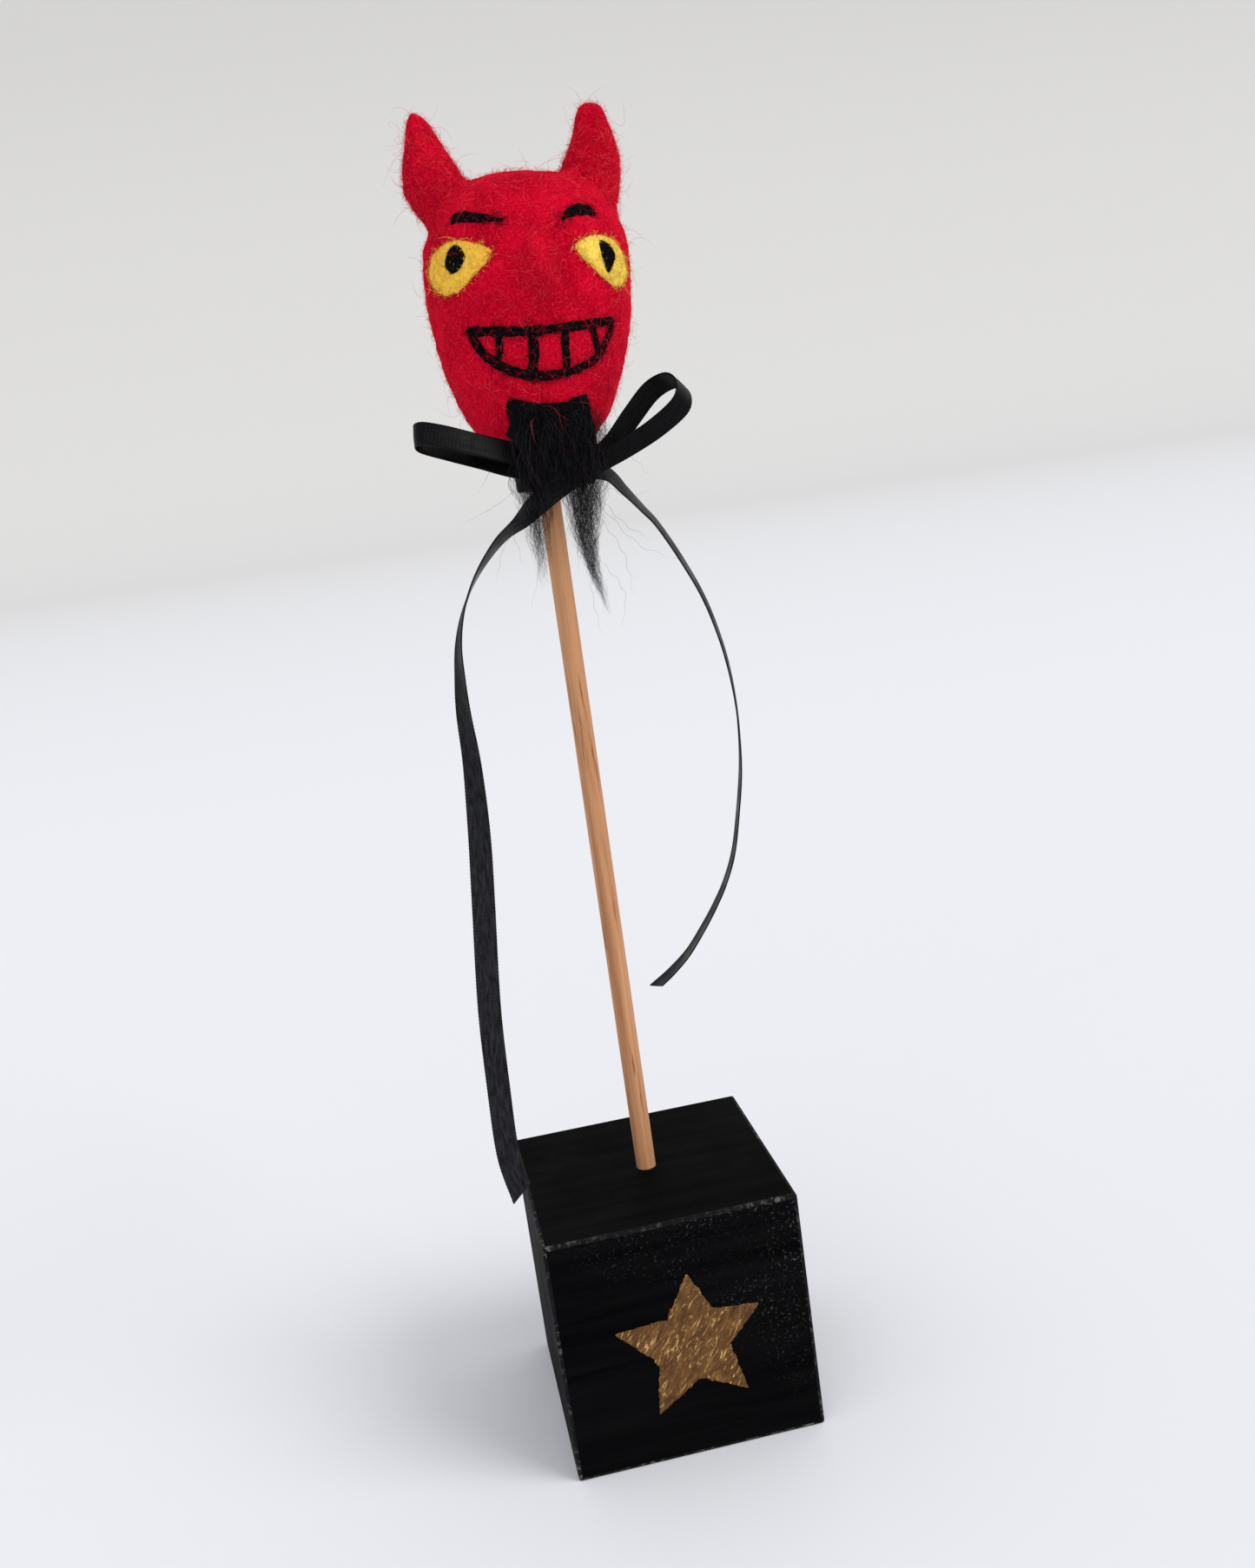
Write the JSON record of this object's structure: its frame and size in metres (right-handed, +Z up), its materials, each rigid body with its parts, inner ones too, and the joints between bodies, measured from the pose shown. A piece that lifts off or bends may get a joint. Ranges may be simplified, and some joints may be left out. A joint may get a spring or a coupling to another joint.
{
  "type": "stick puppet",
  "caption": "Needle-felted devil head on a thin wooden stick that stands in a painted block, with a wool beard and a ribbon bow with long tails.",
  "frame": {"origin": "centre of the block's underside, under the stick", "axes": "+Z up along the stick, -Y the side that the face and the star look to, +X the right-hand side as seen from the front"},
  "size_m": [0.048, 0.0408, 0.1939],
  "materials": {
    "painted_wood": "matte black paint over close-grained wood",
    "gold_leaf": "thin hand-laid gold leaf, slightly rubbed",
    "dowel_wood": "bare birch dowel with fine lengthwise grain",
    "core_wool": "undyed carded wool, felted firm",
    "red_felt": "dense needle-felted red wool with a fine halo of stray fibres",
    "yellow_felt": "needle-felted yellow wool",
    "black_felt": "needle-felted black wool",
    "beard_wool": "loose crimped black wool",
    "satin_ribbon": "narrow black satin ribbon with woven edges"
  },
  "bodies": {
    "stand": {"block": "painted_wood", "gold_star": "gold_leaf"},
    "dowel": {"stick": "dowel_wood"},
    "puppet": {"head_core": "core_wool", "head_skin": "red_felt", "horn_left": "red_felt", "horn_right": "red_felt", "nose": "red_felt", "eye_left": "yellow_felt", "eye_right": "yellow_felt", "pupil_left": "black_felt", "pupil_right": "black_felt", "brow_left": "black_felt", "brow_right": "black_felt", "mouth_upper": "black_felt", "mouth_lower": "black_felt", "tooth_line_1": "black_felt", "tooth_line_2": "black_felt", "tooth_line_3": "black_felt", "tooth_line_4": "black_felt", "beard_patch": "black_felt", "beard_curtain": "beard_wool", "beard_lock_left": "beard_wool", "beard_lock_right": "beard_wool", "neck_wrap": "satin_ribbon", "bow_knot": "satin_ribbon", "bow_loop_left": "satin_ribbon", "bow_loop_right": "satin_ribbon", "ribbon_tail_left": "satin_ribbon", "ribbon_tail_right": "satin_ribbon"}
  },
  "joints": [
    {"name": "stick_lift", "type": "slide", "parent": "stand", "child": "dowel", "axis": [0, 0, 1], "range_m": [0, 0.018]},
    {"name": "head_turn", "type": "hinge", "parent": "dowel", "child": "puppet", "pos_m": [0, 0, 0.15], "axis": [0, 0, 1], "continuous": true}
  ]
}
